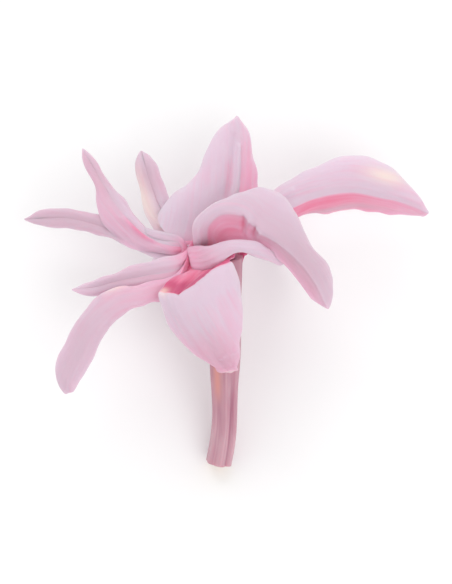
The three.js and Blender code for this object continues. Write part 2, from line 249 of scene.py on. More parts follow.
INNER_PETALS = [
    Petal(
        node="petal_left_low", azimuth=283,
        midrib=[(-4.7, -1.5, 3.2), (-8.5, -2.3, 2.8), (-12, -2.9, 2.8), (-15, -3.7, 2.9), (-17.9, -4, 2.8)],
        left=[(-5.2, -3.7, 3.2), (-8.5, -3.8, 3), (-11.9, -3.9, 3), (-14.7, -4.8, 3), (-17.4, -4.4, 2.8)],
        right=[(-4.2, 0.6, 2.4), (-8.4, -0.5, 1.8), (-12, -1.8, 2.2), (-15.2, -2.7, 2.6),
               (-17.6, -3.8, 2.7)],
        tint_left=[0.1, 0.2, 0.2, 0.15, 0.1, 0.05, 0],
        # Painted grey-pink shade over the blade.
        painted_shade=[Patch((0.6, 0), (6, 3), 0.5)],
    ),
    Petal(
        node="petal_left_raised", azimuth=240,
        midrib=[(-5.4, 1.5, -1.2), (-8.6, 2.6, -2.8), (-12.3, 6.4, -4.5), (-14.5, 9.7, -6),
                (-16, 12.3, -7.3), (-17.1, 14.2, -8.2)],
        left=[(-6.2, 0.6, -1.2), (-11.1, 1.4, -3), (-14.3, 4.7, -4.7), (-15.4, 9.2, -6.2),
              (-16.8, 11.7, -7.5), (-17.3, 13.8, -8.2)],
        right=[(-4.7, 2.3, -1.6), (-7.5, 2.3, -3.1), (-10.9, 6.4, -4.9), (-13.7, 10, -6.3),
               (-15.3, 12.6, -7.4), (-16.7, 14.2, -8.2)],
        tint_left=[0.25, 0.25, 0.25, 0.2, 0.15, 0.1, 0],
        folds=[Fold((0.385, 0.1), (0.52, 0.1), 0.4, 0.3)],
        # Painted shade: deeper pink in the crease where the margin tucks back, and grey-pink over the blade.
        pink_and_shade=[Patch((0.45, 0.1), (2.4, 0.35), 0.4)],
        painted_shade=[Patch((0.75, 0), (5, 3), 0.6)],
    ),
    Petal(
        node="petal_back_left", azimuth=206,
        midrib=[(-4.5, 3.4, -3.6), (-6.7, 5.9, -5.2), (-8, 8.8, -7), (-8.9, 11.5, -8.6), (-9.6, 14, -10.2)],
        left=[(-6.4, 2.1, -3.6), (-8.5, 4.9, -5.3), (-9.5, 8.2, -7.1), (-10.4, 11.2, -8.7),
              (-10.3, 13.5, -10.2)],
        right=[(-2.9, 4.6, -4), (-5.4, 6.9, -5.6), (-6.6, 9.2, -7.2), (-7.5, 11.7, -8.8), (-9, 13.7, -10.2)],
        faded_and_highlit=[Patch((0.6, 0.8), (5, 0.9), 0.5)],
        # Painted grey-pink shade over the blade.
        painted_shade=[Patch((0.75, 0), (4, 3), 0.7)],
    ),
    Petal(
        node="petal_top", azimuth=165,
        midrib=[(1.4, 1.9, -2.6), (2.3, 4.6, -3.6), (2.8, 7.5, -4.6), (3.1, 10.3, -5.6), (3.2, 13.3, -6.4),
                (3.1, 15.9, -7), (2.8, 18.4, -7.6)],
        left=[(-4.7, 1.4, -1.8), (-7.3, 4.9, -3), (-5.5, 8, -4.4), (-2.8, 10.6, -5.6), (-1.2, 13.6, -6.6),
              (0.5, 16.3, -7.2), (2.3, 18.1, -7.6)],
        right=[(4.4, 1.9, -3.4), (5.2, 4.6, -4.4), (5.6, 7.5, -5.6), (5.5, 10.1, -6.8), (5.1, 13, -7.6),
               (4.5, 15.7, -7.8), (3.4, 18, -7.8)],
        bulge_left=[0, 0.3, 0.6, 0.8, 0.8, 0.6, 0.3], bulge_right=[0, 0, 0.2, 0.3, 0.2, 0],
        tint=[0.05, 0.05, 0.05, 0, 0, -0.05, -0.05, 0], throat=0.4,
        # The deeper pink of the band past the fold and of the groove beside the ridge is painted shade.
        tint_right=[0.1, 0.1, 0.2, 0.25, 0.35, 0.35, 0.25, 0.1, 0],
        folds=[Fold((0.5, 0.02), (0.8, 0.02), 0.35, 0.25), Fold((0.5, 0.16), (0.85, 0.2), -0.35, 0.5)],
        pink_and_shade=[Patch((0.6, 0.2), (3.5, 0.5), 0.25)],
    ),
    Petal(
        node="petal_right_hooded", azimuth=235,
        midrib=[(-1.1, 1.7, 1.6), (-0.9, 3.9, 3.8), (0.8, 5.4, 4.9), (3.5, 5.2, 5.4), (5.5, 3.2, 5.6),
                (7.7, 1.8, 5.8), (10.2, -0.2, 5.6), (12.3, -2.8, 5.1), (14.1, -6.4, 4.4)],
        left=[(-2.6, 2, 0.4), (-2.5, 4.5, 2.2), (-0.5, 6.4, 3.4), (3, 8.1, 2.6), (6.4, 8.8, 1.8),
              (9.5, 6.8, 1.6), (10.9, 3.5, 1.8), (13.9, -0.7, 2.2), (15.3, -4.5, 2.8)],
        right=[(0.8, 0.1, 2), (1.4, 0.5, 2.8), (2, 0.7, 3.4), (3, 1, 3.8), (4.5, 1.2, 4.2), (6.7, 0.6, 4.4),
               (9.2, -1.5, 4.3), (11.1, -4, 4.1), (12.7, -6, 4)],
        bulge_left=[0, 0.2, 0.5, 0.7, 0.8, 0.9, 0.9, 0.8, 0.6, 0.4, 0.2],
        bulge_right=[0, 0, -0.2, -0.4, -0.6, -0.6, -0.5, -0.4, -0.2, -0.1, 0],
        # Painted shade: deeper pink on the turned-down half and its hollow, and in its wrinkles; grey-pink
        # over the blade.
        tint_right=[0, 0, 0.2, 0.35, 0.42, 0.4, 0.35, 0.3, 0.3, 0.25, 0.15], throat=0.15,
        folds=[Fold((0.5, -0.08), (0.49, -0.55), -0.35, 0.25), Fold((0.53, -0.05), (0.53, -0.5), 0.3, 0.22),
               Fold((0.565, -0.05), (0.555, -0.5), -0.35, 0.22),
               Fold((0.6, -0.05), (0.6, -0.45), 0.25, 0.22)],
        painted_shade=[Patch((0.8, 0.1), (8, 4), 0.7)],
        pink_and_shade=[Patch((0.5, -0.3), (0.3, 1.0), 0.25), Patch((0.565, -0.25), (0.25, 0.8), 0.3),
               Patch((0.4, -0.5), (2.5, 0.4), 0.15)],
    ),
    Petal(
        node="petal_front_arc", azimuth=318,
        midrib=[(-2.8, -0.1, 3), (-1.9, -0.3, 4), (-0.4, 0.3, 5.5), (1.5, 1.2, 6.3), (3.5, 1.3, 6.5),
                (5.4, 1, 5.8), (7, 0.4, 4.6), (8.8, -0.5, 2.7)],
        left=[(-2.5, -1.5, 3.7), (-1.2, -1.5, 4.7), (0.3, -1.1, 5.7), (1.8, 0.1, 5.9), (3.5, 0.4, 5.6),
              (5.2, 0, 5), (6.7, -0.5, 3.9), (8.5, -1, 2.4)],
        right=[(-3.4, 1.3, 1.2), (-2.1, 1.5, 3.1), (-0.9, 1.5, 4.7), (1.1, 2, 5.8), (3.5, 2, 5.9),
               (5.5, 1.6, 5.2), (7.2, 0.9, 4.1), (8.8, -0.2, 2.6)],
        bulge_left=(0, -0.1, -0.1, -0.1), bulge_right=(0, -0.1, -0.1, -0.1),
        tint=[0.3, 0.3, 0.25, 0.2, 0.1, 0, 0, 0, 0, 0], throat=0.2,
    ),
]

CLAW_HALF_WIDTHS = (0.8, 1.5, 1.8, 1.8)  # where a petal is grown onto the tube, mm
CLAW_TURN = (0, 0, 0.45, 0.85)  # how far its margins have turned from the tube's way to the petal's own
FLAT_UP_TO = (0.2, 1.4)  # half widths between which a petal starts to arch, mm
TINT_FROM = (0.0, 0.08)  # shares across between which a half's tint comes in beside the midrib
THROAT_REACH = (1.5, 7.0)  # distances from the mouth between which the throat's colour fades out, mm
TIP_START = 0.94  # share of a petal's length at which its tip starts to round off
BODY_ROWS = 96
TIP_ROWS = 22
HALF_COLUMNS = 30
EDGE_ROUNDNESS = 0.2  # power of the rounding of a petal's thin edge
PETAL_MARKS = ("across_mm", "along_mm", "pink_and_shade", "painted_shade", "faded_and_highlit")

# Relief of a petal, in mm. Where there are two lengths, they are across and along it.
RELIEF_FROM = (0, 3)  # distances past the mouth between which the relief comes in
GROOVE_SPREAD = 0.45
WAVE_LENGTHS = (2.6, 5.5)
RIPPLE_LENGTHS = (1.0, 2.4)
RIPPLE_SHARE = 0.3  # height of a ripple beside that of a wave
RUFFLE_LENGTH = 2.2
MARGINS_APART = 9  # keeps the two margins' ruffles unlike
SEED_STEPS = (7.3, 3.1, 5.7)  # shift of the noise from one seed to the next


def spline(points, at):
    """Where a smooth curve through points is at these steps, and its direction; step 0 is the first point."""
    points = np.array(points, float).reshape(len(points), -1)
    points = np.vstack([2 * points[0] - points[1], points, 2 * points[-1] - points[-2]])
    first = np.clip(at.astype(int), 0, len(points) - 4)
    t = (at - first)[:, None]
    a, b, c, d = (points[first + k] for k in range(4))
    bend = 2 * a - 5 * b + 4 * c - d
    twist = 3 * b - a - 3 * c + d
    place = b + 0.5 * ((c - a) * t + bend * t**2 + twist * t**3)
    return place, 0.5 * (c - a) + bend * t + 1.5 * twist * t**2


def travelled(places):
    """How far along the line through these places each of them is."""
    return np.concatenate([[0], np.cumsum(np.linalg.norm(np.diff(places, axis=0), axis=1))])


def profile(values, share):
    """Values spread evenly from share 0 to share 1, read smoothly at each share; held before 0."""
    return spline(values, np.clip(share, 0, 1) * (len(values) - 1))[0][:, 0]


def smooth(value, low, high):
    """0 below low, 1 above high, and a smooth step between them."""
    x = np.clip((value - low) / (high - low), 0, 1)
    return x * x * (3 - 2 * x)


def noise_at(spots, seed):
    """Smooth noise from -1 to 1 at each spot, whose two coordinates count in the noise's own wavelength."""
    offset = Vector([step * seed for step in SEED_STEPS])
    flat = spots.reshape(-1, 2).tolist()
    return np.array([noise.noise(Vector((*spot, 0)) + offset) for spot in flat]).reshape(spots.shape[:-1])


def to_segment(points, start, end):
    """Distance of each point from the straight line between start and end."""
    along = end - start
    t = np.clip((points - start) @ along / (along @ along), 0, 1)
    return np.linalg.norm(points - start - t[..., None] * along, axis=-1)


def petal_rows(claw_share):
    """Shares along from the claw, below 0, to the tip, at 1, close together where the tip rounds off."""
    body = np.linspace(-claw_share, TIP_START, BODY_ROWS, endpoint=False)
    into_tip = np.sin(np.linspace(0, math.pi / 2, TIP_ROWS))
    return np.concatenate([body, TIP_START + (1 - TIP_START) * into_tip])


def past_tip_start(share):
    """0 up to where the tip starts to round off, 1 at the tip."""
    return np.clip((share - TIP_START) / (1 - TIP_START), 0, 1)


def petal_sheet(petal, claw, look):
    """The petal's middle surface and what goes with each of its points, in arrays of rows by columns."""
    out = outward(petal.azimuth)
    sideways = np.cross(-out, AXIS)
    root = [out * point[0] + AXIS * point[1] for point in claw]
    steps = len(root) + len(petal.midrib) - 1 - GROWN_POINTS  # from where it leaves the mouth to the tip
    share = petal_rows(GROWN_POINTS / steps)
    at = share * steps + GROWN_POINTS
    place, tangent = spline(root + petal.midrib, at)
    tangent = unit(tangent)

    narrowing = np.sqrt(1 - past_tip_start(share)**2)
    reach = np.sin(np.linspace(0, math.pi / 2, HALF_COLUMNS))
    arch = 4 * reach * (1 - reach)  # 0 at the midrib and at the margin, 1 half way
    halves = []
    for sign, margin, bulges, tints in (
        (-1, petal.right, petal.bulge_right, petal.tint_right),
        (1, petal.left, petal.bulge_left, petal.tint_left),
    ):
        first = np.array(margin[0]) - petal.midrib[0]
        grown = [point + sign * half * (1 - turn) * sideways + turn * first
                 for point, half, turn in zip(root, CLAW_HALF_WIDTHS, CLAW_TURN)]
        edge = spline(grown + margin, at)[0] - place
        half_width = np.linalg.norm(edge, axis=1)
        up = unit(sign * np.cross(tangent, edge / half_width[:, None]))
        bulge = profile(bulges, share)[:, None] * arch * smooth(half_width, *FLAT_UP_TO)[:, None]
        spots = edge[:, None] * reach[:, None] + bulge[..., None] * up[:, None]
        halves.append({
            "place": place[:, None] + narrowing[:, None, None] * spots,
            "across_mm": sign * (half_width * narrowing)[:, None] * reach,
            "across": np.broadcast_to(sign * reach, bulge.shape),
            # A half's tint; on halves that turn down or away from the light this deeper pink is painted
            # shade.
            "pink_and_shade": profile(tints, share)[:, None] * smooth(reach, *TINT_FROM),
        })
    right, left = halves
    sheet = {key: np.concatenate([right[key][:, :0:-1], left[key]], axis=1) for key in right}
    sheet["normal"] = sheet_normal(sheet["place"])

    columns = sheet["across"].shape[1]
    from_claw = travelled(place)
    along_mm = from_claw - np.interp(0, share, from_claw)
    sheet["along"] = np.repeat(share[:, None], columns, axis=1)
    sheet["along_mm"] = np.repeat(along_mm[:, None], columns, axis=1)
    sheet["spot"] = np.stack([sheet["across_mm"], sheet["along_mm"]], axis=-1)
    sheet["free"] = smooth(sheet["along_mm"], *RELIEF_FROM) * narrowing[:, None] ** 2

    def on_sheet(mark):
        """A place on the petal in millimetres across and along."""
        row = np.searchsorted(share, mark[0])
        column = np.searchsorted(sheet["across"][row], mark[1])
        return sheet["spot"][row, column]

    height = petal_relief(sheet, look, petal.seed)
    for fold in petal.folds:
        distance = to_segment(sheet["spot"], on_sheet(fold.start), on_sheet(fold.end))
        height += fold.height * np.exp(-(distance / fold.spread) ** 2)
    sheet["place"] += height[..., None] * sheet["normal"]

    from_mouth = np.linalg.norm(sheet["place"], axis=-1)
    # Near the mouth the colour deepens, partly the dye's own and partly painted shade of the throat's depths.
    near = petal.throat * (1 - smooth(from_mouth, *THROAT_REACH))
    sheet["pink_and_shade"] += profile(petal.tint, share)[:, None] + near
    sheet["painted_shade"] = np.zeros_like(from_mouth)
    sheet["faded_and_highlit"] = np.zeros_like(from_mouth)
    # Spots: deeper pink, most of it painted shade in creases, grooves and hollows; grey-pink painted shade;
    # cream, some faded tissue and some painted highlights.
    for key in ("pink_and_shade", "painted_shade", "faded_and_highlit"):
        for patch in getattr(petal, key):
            away = (sheet["spot"] - on_sheet(patch.place)) / np.array(patch.reach)[::-1]
            sheet[key] += patch.amount * np.exp(-np.sum(away**2, axis=-1))
    return sheet


def sheet_normal(place):
    """The direction that the upper face of a sheet looks in at each of its points."""
    along = np.gradient(place, axis=0)
    across = np.gradient(place, axis=1)
    normal = np.cross(along, across)
    normal[-1] = normal[-2]  # the tip's row is a single point
    return unit(normal)


def petal_relief(sheet, look, seed):
    """Height of a petal's own relief over its middle surface: veins, midrib groove, waves, ruffled margin."""
    spot = sheet["spot"]
    across = sheet["across"]
    veins = np.cos(2 * math.pi * sheet["across_mm"] / (look.vein_spacing / MM))
    height = look.vein_height / MM * veins * (1 - across**4)
    height -= look.midrib_groove / MM * np.exp(-(sheet["across_mm"] / GROOVE_SPREAD) ** 2)
    height += look.waves / MM * noise_at(spot / WAVE_LENGTHS, seed)
    height += RIPPLE_SHARE * look.waves / MM * noise_at(spot / RIPPLE_LENGTHS, seed + 1)
    ruffle_spots = np.stack([sheet["along_mm"] / RUFFLE_LENGTH, np.sign(across) * MARGINS_APART], axis=-1)
    height += look.ruffle / MM * noise_at(ruffle_spots, seed + 2) * np.abs(across)**3
    return height * sheet["free"]


def petal_mesh(petal, claw, look):
    """A closed mesh: the sheet's upper and lower faces, which meet along its thin edges."""
    sheet = petal_sheet(petal, claw, look)
    rows, columns = sheet["across"].shape
    reach = np.abs(sheet["across"])
    thickness = look.thickness + (look.margin_thickness - look.thickness) * reach**2
    rounded = (1 - reach**2) ** EDGE_ROUNDNESS
    rounded = rounded * (1 - past_tip_start(sheet["along"])**2) ** EDGE_ROUNDNESS
    rounded[0] = 0  # the claw ends in an edge too
    half = (thickness / MM * rounded / 2)[..., None] * sheet["normal"]

    upper = np.arange(rows * columns).reshape(rows, columns)
    lower = upper + rows * columns
    # The faces share their vertices along the margins, the claw's end and the tip, which is one point.
    upper[-1] = upper[-1, 0]
    lower[-1] = upper[-1]
    lower[0] = upper[0]
    lower[:, 0] = upper[:, 0]
    lower[:, -1] = upper[:, -1]
    faces = sheet_faces(upper) + [face[::-1] for face in sheet_faces(lower)]
    places = np.concatenate([(sheet["place"] + half).reshape(-1, 3), (sheet["place"] - half).reshape(-1, 3)])
    marks = {key: np.tile(sheet[key].ravel(), 2) for key in PETAL_MARKS}
    # The lower face is marked so that the finish gives it a little more pink, as painted shade of the
    # undersides.
    marks["under"] = np.repeat([0.0, 1.0], rows * columns)
    return closed_mesh(petal.name, places, faces, marks)


def sheet_faces(index):
    """Faces between the rows and columns of a grid of vertex numbers, less the corners that fall together."""
    corners = np.stack([index[:-1, :-1], index[:-1, 1:], index[1:, 1:], index[1:, :-1]], axis=-1)
    return [list(dict.fromkeys(face)) for face in corners.reshape(-1, 4).tolist()]


def closed_mesh(name, places, faces, marks):
    """An object over places in the flower's own frame, whose vertices hold a number for each mark."""
    used = np.unique(np.concatenate([np.array(face) for face in faces]))
    renumbered = np.zeros(len(places), int)
    renumbered[used] = np.arange(len(used))
    mesh = bpy.data.meshes.new(name)
    mesh.from_pydata(row_frame(places[used]).tolist(), [], [renumbered[face].tolist() for face in faces])
    for key, values in marks.items():
        mesh.attributes.new(key, "FLOAT", "POINT").data.foreach_set("value", values[used].astype(np.float32))
    shell = bmesh.new()
    shell.from_mesh(mesh)
    bmesh.ops.recalc_face_normals(shell, faces=shell.faces)
    shell.to_mesh(mesh)
    shell.free()
    mesh.shade_smooth()
    return new_object(name, mesh)


def new_object(name, data):
    """An object of this data, in the scene."""
    made = bpy.data.objects.new(name, data)
    bpy.context.scene.collection.objects.link(made)
    return made


def seat(piece, node, material):
    """The piece stands for the node, rides on its body and has its finish."""
    piece.data.materials.append(material)
    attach(piece, BODY)
    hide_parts(node)


def lay_petals(petals, claw, look):
    """Every petal of a whorl, with one finish shared by all petals."""
    finish = bpy.data.materials.get(PETAL_FINISH) or preserved_petal(look)
    for petal in petals:
        seat(petal_mesh(petal, claw, look), petal.node, finish)


# ----------------------------------------- tube and pistil

# Middle line of the tube, from the mouth to the cut end, and its outer radius spread evenly along it, in mm.
TUBE_LINE = [(0, 0, 0), (0.4, -3.4, -0.9), (0.9, -7.8, -2), (1.2, -11.6, -3), (1.25, -15.1, -3.9),
             (1.2, -20, -5.2), (0.95, -23.2, -6), (0.45, -26.2, -6.8)]
TUBE_RADIUS = [3.6, 3.05, 2.5, 2.15, 1.85, 1.6, 1.6, 1.65]
TUBE_WALL = 0.55  # at the rim
THROAT_DEPTH = 12.0
THROAT_END_RADIUS = 0.9
CUT_END_DIMPLE = 0.35
CUT_END_RIM = (0.55, 0.8)  # shares of the cut end's radius between which the dimple ends
CUT_END_SHARES = (0.1, 0.95)  # of its radius, at its innermost and outermost ring of points
LINE_STEPS = 400
OUTSIDE_ROWS = 140
CUT_END_ROWS = 16
THROAT_ROWS = 60
ROUND_TUBE = 96

# Relief and stains of the tube: places round it in radians from the front, depths below the mouth in mm.
RELIEF_RADII = (0.8, 1.5)  # between which ribs and bumps come in, mm
RIB_WANDER = 0.35  # how far the ribs wind to and fro, where a rib takes up 2 pi
RIB_WANDER_LENGTH = 6  # mm of depth to a radian
BUMPS = [(0.06, 2, 4.1), (0.04, 3, -2.7)]  # height in mm, number round the tube, mm of depth to a radian
CREASE_PLACE = 0.5
CREASE_DRIFT = 250  # mm of depth to a radian
CREASE_SPREAD = 0.16
CREASE_DEPTHS = (13.5, 19)
OCHRE_PLACE = -0.6
OCHRE_SPREAD = 0.3
OCHRE_STARTS = (9, 13)
OCHRE_ENDS = (16, 20)

PISTIL_TOP = 1.2  # depth below the mouth, mm
PISTIL_FOOT = 0.3  # above the bottom of the throat, mm
STYLE_RADIUS = 0.3  # mm
STYLE_ROWS = 40
FIRST_STYLE_ROW = 0.1  # above the foot, mm
STIGMA_RADIUS = 0.62
STIGMA_LENGTH = 2.2 * STIGMA_RADIUS
STIGMA_ROWS = 24
STIGMA_SWELLS_TO = 0.75  # share of its length at which it is widest, and starts to close
STIGMA_LOBES = 3
LOBE_DEPTH = 0.18  # share of the radius
LOBES_FADE = (0.6, 1.6)  # stigma radii below the top between which the lobes fade out


def tube_depths():
    """Steps along the tube's middle line, close together, and how far below the mouth each is, in mm."""
    steps = np.linspace(0, len(TUBE_LINE) - 1, LINE_STEPS)
    return steps, travelled(spline(TUBE_LINE, steps)[0])


def tube_frame(depth):
    """Places on the tube's middle line at depths below the mouth, with the right and the front there."""
    steps, depths = tube_depths()
    place, tangent = spline(TUBE_LINE, np.interp(depth, depths, steps))
    along = -unit(tangent)
    right = unit(np.cross(along, FRONT))
    return place, right, np.cross(right, along)


def round_tube():
    """The angles of a ring of points round the tube, from its front."""
    return np.linspace(0, 2 * math.pi, ROUND_TUBE, endpoint=False)


def revolve(name, outline, shape, marks):
    """A solid round the tube's middle line, whose outline of (radius, depth) starts and ends on that line.

    shape(radius, depth, turn) gives the radius at each point round it.
    """
    outline = np.array(outline)
    place, right, front = tube_frame(outline[:, 1])
    turn = round_tube()
    radius = shape(outline[:, :1], outline[:, 1:], turn[None])
    places = place[:, None] + radius[..., None] * (
        np.sin(turn)[None, :, None] * right[:, None] + np.cos(turn)[None, :, None] * front[:, None]
    )
    index = np.arange(len(outline) * ROUND_TUBE).reshape(len(outline), ROUND_TUBE)
    index[0] = index[0, 0]
    index[-1] = index[-1, 0]
    index = np.concatenate([index, index[:, :1]], axis=1)
    kept = {}
    for key, values in marks.items():
        values = np.array(values, float).reshape(len(outline), -1)
        kept[key] = np.broadcast_to(values, (len(outline), ROUND_TUBE)).ravel()
    kept["turn"] = np.tile(turn, len(outline))
    return closed_mesh(name, places.reshape(-1, 3), sheet_faces(index), kept)


def tube_outline(length):
    """Half section of the tube: out across its cut end, up the outside to the rim, and down the throat."""
    shares = np.linspace(1, 0, OUTSIDE_ROWS)
    outside = list(zip(profile(TUBE_RADIUS, shares), shares * length))
    cut = [(0, length - CUT_END_DIMPLE)]
    for share in np.linspace(*CUT_END_SHARES, CUT_END_ROWS):
        dimple = CUT_END_DIMPLE * (1 - smooth(share, *CUT_END_RIM))
        cut.append((outside[0][0] * share, length - dimple))
    mouth = outside[-1][0] - TUBE_WALL
    throat = []
    for share in np.linspace(0, 1, THROAT_ROWS):
        throat.append((mouth + (THROAT_END_RADIUS - mouth) * math.sqrt(share), share * THROAT_DEPTH))
    return cut, outside, throat + [(0, THROAT_DEPTH)]


def beside(turn, middle, spread):
    """1 at an angle round the tube, falling softly to 0 past the spread."""
    away = np.mod(turn - middle + math.pi, 2 * math.pi) - math.pi
    return np.exp(-(away / spread) ** 2)


def crease(turn, depth):
    """Share of the one deep crease that dries into the tube's lower half."""
    middle = CREASE_PLACE + depth / CREASE_DRIFT
    return beside(turn, middle, CREASE_SPREAD) * smooth(depth, *CREASE_DEPTHS)


def flower_tube(look):
    """The ribbed tube, hollow at the throat, with its crease and its tanned streak marked for the finish."""
    cut, outside, throat = tube_outline(tube_depths()[1][-1])
    outline = cut + outside + throat

    def ribbed(radius, depth, turn):
        wander = RIB_WANDER * np.sin(depth / RIB_WANDER_LENGTH)
        relief = look.rib_height / MM * np.cos(look.ribs * turn + wander)
        for height, number, fall in BUMPS:
            relief = relief + height * np.sin(number * turn + depth / fall)
        return radius + relief * smooth(radius, *RELIEF_RADII) - look.crease / MM * crease(turn, depth)

    depth = np.array([point[1] for point in outline])[:, None]
    turn = round_tube()[None]
    inside = np.repeat([0.0, 1.0], [len(cut) + len(outside), len(throat)])[:, None]
    ochre = beside(turn, OCHRE_PLACE, OCHRE_SPREAD)
    ochre = ochre * smooth(depth, *OCHRE_STARTS) * (1 - smooth(depth, *OCHRE_ENDS))
    marks = {
        "inside": inside,
        "cut": np.repeat([1.0, 0.0], [len(cut), len(outside) + len(throat)]),
        "depth_mm": depth,
        "crease": (1 - inside) * crease(turn, depth),
        "ochre": (1 - inside) * ochre,
    }
    return revolve("floral_tube", outline, ribbed, marks)


def pistil():
    """A thin style that stands in the throat and swells into a stigma with three lobes."""
    foot = THROAT_DEPTH - PISTIL_FOOT
    top = PISTIL_TOP
    outline = [(0, foot), (STYLE_RADIUS, foot)]
    for depth in np.linspace(foot - FIRST_STYLE_ROW, top + STIGMA_LENGTH, STYLE_ROWS):
        outline.append((STYLE_RADIUS, depth))
    for share in np.linspace(0, 1, STIGMA_ROWS)[1:]:
        swell = STYLE_RADIUS + (STIGMA_RADIUS - STYLE_RADIUS) * float(smooth(share, 0, STIGMA_SWELLS_TO))
        closing = max(0.0, (share - STIGMA_SWELLS_TO) / (1 - STIGMA_SWELLS_TO))
        outline.append((swell * math.sqrt(1 - closing**2), top + STIGMA_LENGTH * (1 - share)))

    def lobed(radius, depth, turn):
        fade_from, fade_to = (top + radii * STIGMA_RADIUS for radii in LOBES_FADE)
        lobe = LOBE_DEPTH * (np.cos(STIGMA_LOBES * turn) - 1)
        return radius * (1 + lobe * (1 - smooth(depth, fade_from, fade_to)))

    return revolve("three_lobed_pistil", outline, lobed, {"depth_mm": [point[1] for point in outline]})


# ------------------------------------------------ finishes

MIX_FACTOR, MIX_A, MIX_B, MIX_RESULT = 0, 6, 7, 2  # sockets of a colour mix
PETAL_FINISH = "glycerine_preserved_petal"
TUBE_MARKS = ("turn", "depth_mm", "inside", "cut", "crease", "ochre")

# Sizes of the patterns, in mm; a fraction is a length over how many of them fill it. Petal cells and the
# stigma's pimples are really about 0.05 mm wide, and the fibres of the tube and the card 0.1 mm. That is
# too fine to show, so they are drawn coarser.
STREAK_GAP = 5 / 11  # dye follows the veins
STREAK_RUN = 25 / 3
CELL_WIDTH = 1 / 9
CELL_LENGTH = 0.25
DYE_CLOUD = 50 / 11  # patches where the dye took unevenly
FIBRE_WIDTH = 2 / 7
FIBRE_LENGTH = 25 / 3
BAND_WIDTH = 20 / 11  # uneven bands along the tube
BAND_LENGTH = 6.25
TUBE_MEAN_RADIUS = 2.0
FADE_START = 13.0  # depths between which the tube grows paler
FADE_END = 25.0
STIGMA_PIMPLE = 1 / 6
PISTIL_CLOUD = 10 / 9
CARD_GRAIN = 0.4
ROSE_AT = 0.4  # shares of the dye at which a petal is rose and deep pink
DEEP_AT = 0.72


def linear(code):
    """An sRGB colour given as six hex digits, as linear red, green, blue and alpha."""
    channels = [int(code[i:i + 2], 16) / 255 for i in (0, 2, 4)]
    return (*(c / 12.92 if c <= 0.04045 else ((c + 0.055) / 1.055) ** 2.4 for c in channels), 1.0)


def add(tree, kind, inputs=None, **settings):
    """A new node of that kind, with its settings, and each input set to a value or linked to an output.

    A whole node given for an input stands for its first output.
    """
    node = tree.nodes.new(kind)
    for name, value in settings.items():
        setattr(node, name, value)
    for name, value in (inputs or {}).items():
        if isinstance(value, bpy.types.Node):
            value = value.outputs[0]
        if isinstance(value, bpy.types.NodeSocket):
            tree.links.new(value, node.inputs[name])
        else:
            node.inputs[name].default_value = value
    return node


def new_material(name, marks=()):
    """An empty node material, its tree, and the numbers that its pieces' vertices hold for these marks."""
    material = bpy.data.materials.new(name)
    material.use_nodes = True
    tree = material.node_tree
    tree.nodes.clear()
    held = {key: add(tree, "ShaderNodeAttribute", attribute_name=key).outputs["Fac"] for key in marks}
    return material, tree, held


def pigment_and_shade_share(tree, *terms):
    """How deep a place's colour is, from 0 to 1, from dye and from painted shade: the sum of each value times
    its weight.
    """
    total = 0.0
    for value, weight in terms:
        total = add(tree, "ShaderNodeMath", {0: value, 1: weight, 2: total}, operation="MULTIPLY_ADD")
    return add(tree, "ShaderNodeClamp", {"Value": total})


